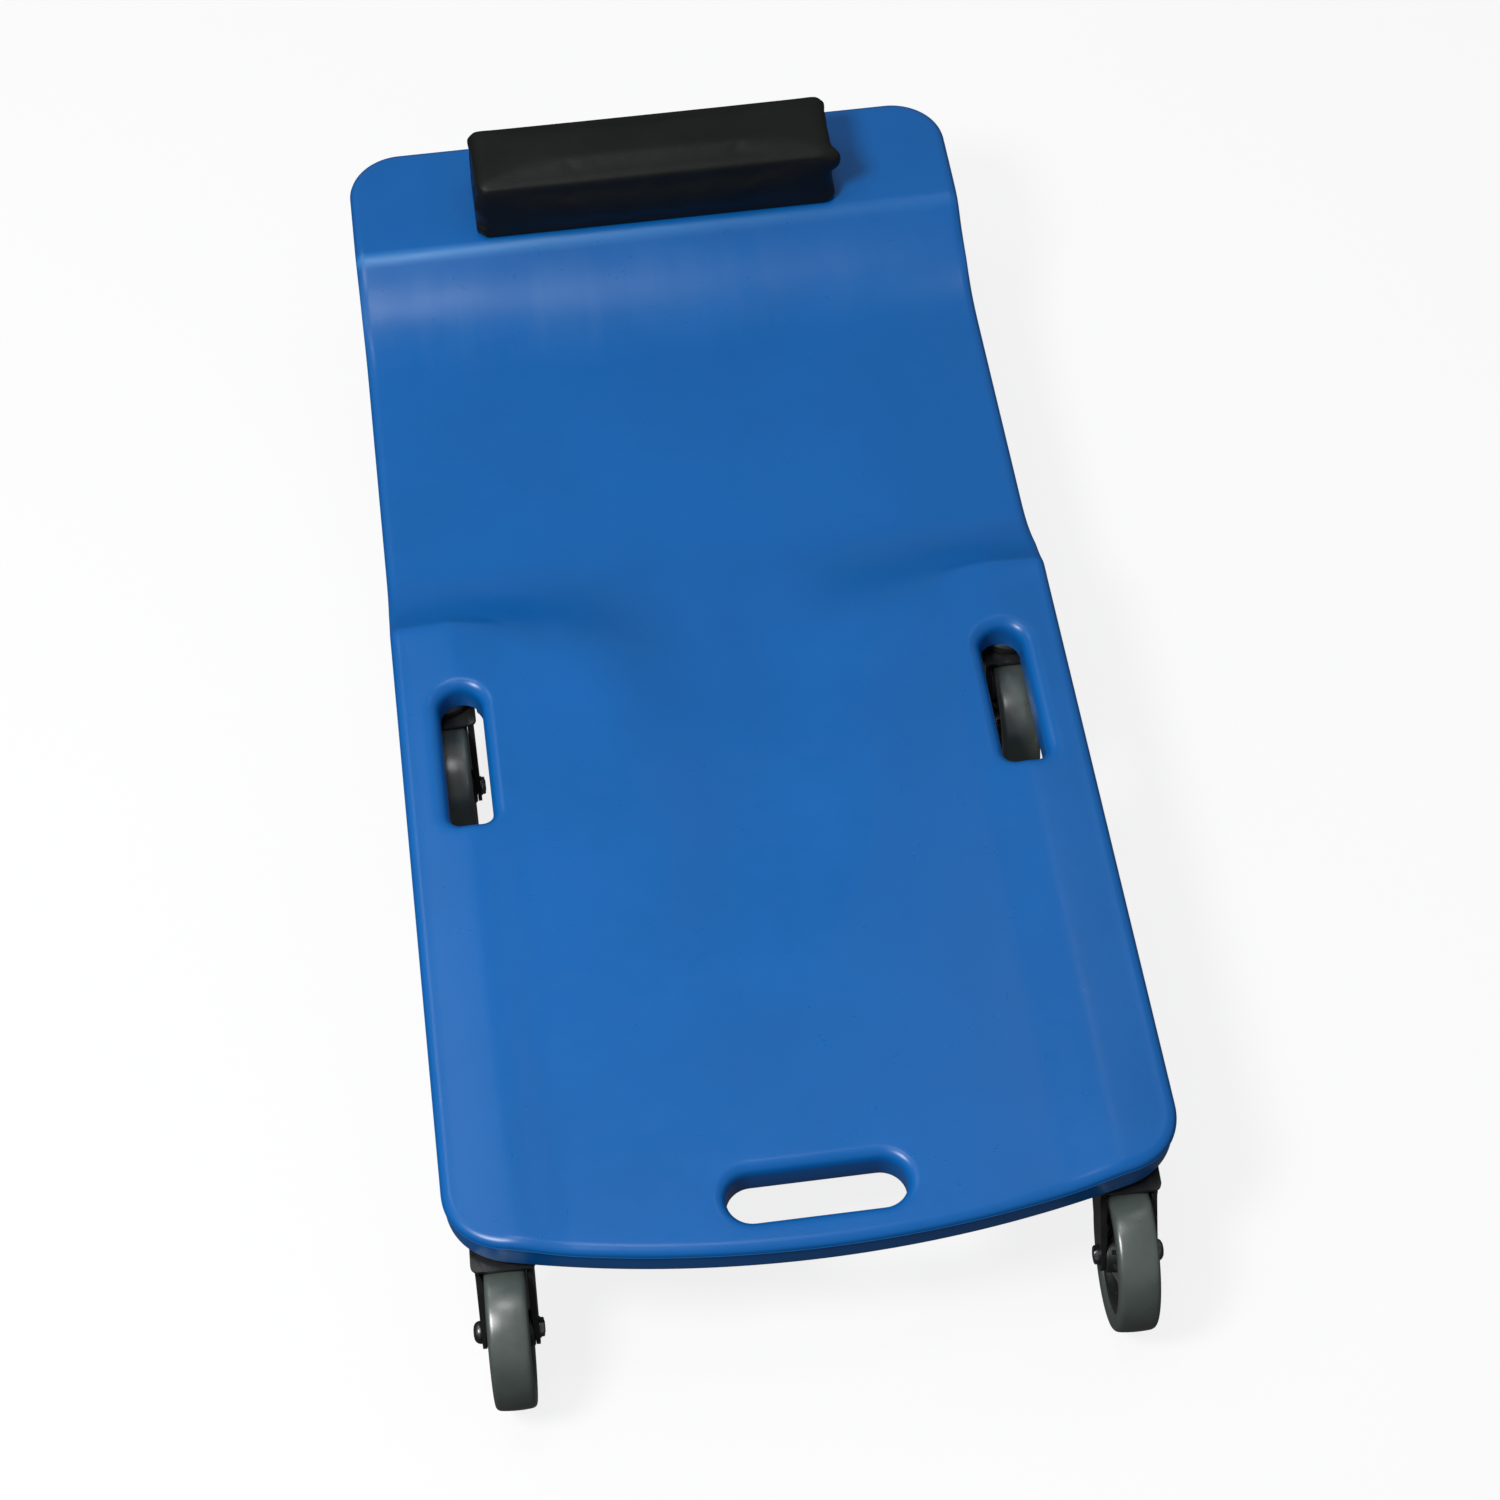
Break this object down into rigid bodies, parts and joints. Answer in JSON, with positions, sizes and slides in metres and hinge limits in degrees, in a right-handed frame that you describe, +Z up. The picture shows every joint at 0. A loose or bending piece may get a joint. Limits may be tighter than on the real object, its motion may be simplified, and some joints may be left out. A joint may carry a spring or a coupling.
{
  "type": "mechanics creeper",
  "caption": "Low moulded plastic mechanics creeper: body-shaped one-piece deck with raised side rails, hand slots, a padded headrest and free swivel casters.",
  "frame": {"origin": "on the floor under the middle of the creeper's outline", "axes": "+Y along the creeper towards the headrest, +X to the right of a person looking from the foot end, +Z up"},
  "size_m": [0.46, 1.0032, 0.1919],
  "materials": {
    "deck_blue": "moulded polyethylene, satin",
    "black_vinyl": "grained vinyl",
    "foam": "open-cell foam",
    "board": "plywood",
    "zinc_steel": "zinc plated",
    "brass_insert": "turned",
    "dark_steel": "dark zinc",
    "ball_steel": "polished",
    "black_steel": "black coated pressed steel",
    "grey_tread": "moulded grey rubber",
    "hub_black": "moulded"
  },
  "bodies": {
    "deck_assembly": {"deck": "deck_blue", "headrest_cover": "black_vinyl", "headrest_foam": "foam", "headrest_board": "board", "headrest_screws": "zinc_steel", "stem_inserts": "brass_insert", "kingpins": "dark_steel", "raceway_foot_left": "black_steel", "raceway_foot_right": "black_steel", "raceway_mid_left": "black_steel", "raceway_mid_right": "black_steel", "raceway_head_left": "black_steel", "raceway_head_right": "black_steel"},
    "swivel_foot_left": {"fork_foot_left": "black_steel", "swivel_balls_foot_left": "ball_steel", "axle_bolt_foot_left": "dark_steel", "axle_nut_foot_left": "dark_steel", "axle_sleeve_foot_left": "zinc_steel"},
    "wheel_foot_left": {"tyre_foot_left": "grey_tread", "hub_foot_left": "hub_black"},
    "swivel_foot_right": {"fork_foot_right": "black_steel", "swivel_balls_foot_right": "ball_steel", "axle_bolt_foot_right": "dark_steel", "axle_nut_foot_right": "dark_steel", "axle_sleeve_foot_right": "zinc_steel"},
    "wheel_foot_right": {"tyre_foot_right": "grey_tread", "hub_foot_right": "hub_black"},
    "swivel_mid_left": {"fork_mid_left": "black_steel", "swivel_balls_mid_left": "ball_steel", "axle_bolt_mid_left": "dark_steel", "axle_nut_mid_left": "dark_steel", "axle_sleeve_mid_left": "zinc_steel"},
    "wheel_mid_left": {"tyre_mid_left": "grey_tread", "hub_mid_left": "hub_black"},
    "swivel_mid_right": {"fork_mid_right": "black_steel", "swivel_balls_mid_right": "ball_steel", "axle_bolt_mid_right": "dark_steel", "axle_nut_mid_right": "dark_steel", "axle_sleeve_mid_right": "zinc_steel"},
    "wheel_mid_right": {"tyre_mid_right": "grey_tread", "hub_mid_right": "hub_black"},
    "swivel_head_left": {"fork_head_left": "black_steel", "swivel_balls_head_left": "ball_steel", "axle_bolt_head_left": "dark_steel", "axle_nut_head_left": "dark_steel", "axle_sleeve_head_left": "zinc_steel"},
    "wheel_head_left": {"tyre_head_left": "grey_tread", "hub_head_left": "hub_black"},
    "swivel_head_right": {"fork_head_right": "black_steel", "swivel_balls_head_right": "ball_steel", "axle_bolt_head_right": "dark_steel", "axle_nut_head_right": "dark_steel", "axle_sleeve_head_right": "zinc_steel"},
    "wheel_head_right": {"tyre_head_right": "grey_tread", "hub_head_right": "hub_black"}
  },
  "joints": [
    {"name": "foot_left_swivel", "type": "hinge", "parent": "deck_assembly", "child": "swivel_foot_left", "pos_m": [-0.196, -0.408, 0.1], "axis": [0, 0, 1], "continuous": true},
    {"name": "foot_left_roll", "type": "hinge", "parent": "swivel_foot_left", "child": "wheel_foot_left", "pos_m": [-0.1975, -0.45097, 0.05], "axis": [0.9994, -0.0349, 0], "continuous": true},
    {"name": "foot_right_swivel", "type": "hinge", "parent": "deck_assembly", "child": "swivel_foot_right", "pos_m": [0.196, -0.408, 0.1], "axis": [0, 0, 1], "continuous": true},
    {"name": "foot_right_roll", "type": "hinge", "parent": "swivel_foot_right", "child": "wheel_foot_right", "pos_m": [0.19412, -0.45096, 0.05], "axis": [0.999, -0.0436, 0], "continuous": true},
    {"name": "mid_left_swivel", "type": "hinge", "parent": "deck_assembly", "child": "swivel_mid_left", "pos_m": [-0.198, 0.006, 0.1], "axis": [0, 0, 1], "continuous": true},
    {"name": "mid_left_roll", "type": "hinge", "parent": "swivel_mid_left", "child": "wheel_mid_left", "pos_m": [-0.198, -0.037, 0.05], "axis": [1, 0, 0], "continuous": true},
    {"name": "mid_right_swivel", "type": "hinge", "parent": "deck_assembly", "child": "swivel_mid_right", "pos_m": [0.198, 0.006, 0.1], "axis": [0, 0, 1], "continuous": true},
    {"name": "mid_right_roll", "type": "hinge", "parent": "swivel_mid_right", "child": "wheel_mid_right", "pos_m": [0.1965, -0.03697, 0.05], "axis": [0.9994, -0.0349, 0], "continuous": true},
    {"name": "head_left_swivel", "type": "hinge", "parent": "deck_assembly", "child": "swivel_head_left", "pos_m": [-0.196, 0.421, 0.1], "axis": [0, 0, 1], "continuous": true},
    {"name": "head_left_roll", "type": "hinge", "parent": "swivel_head_left", "child": "wheel_head_left", "pos_m": [-0.196, 0.378, 0.05], "axis": [1, 0, 0], "continuous": true},
    {"name": "head_right_swivel", "type": "hinge", "parent": "deck_assembly", "child": "swivel_head_right", "pos_m": [0.196, 0.421, 0.1], "axis": [0, 0, 1], "continuous": true},
    {"name": "head_right_roll", "type": "hinge", "parent": "swivel_head_right", "child": "wheel_head_right", "pos_m": [0.196, 0.378, 0.05], "axis": [1, 0, 0], "continuous": true}
  ]
}
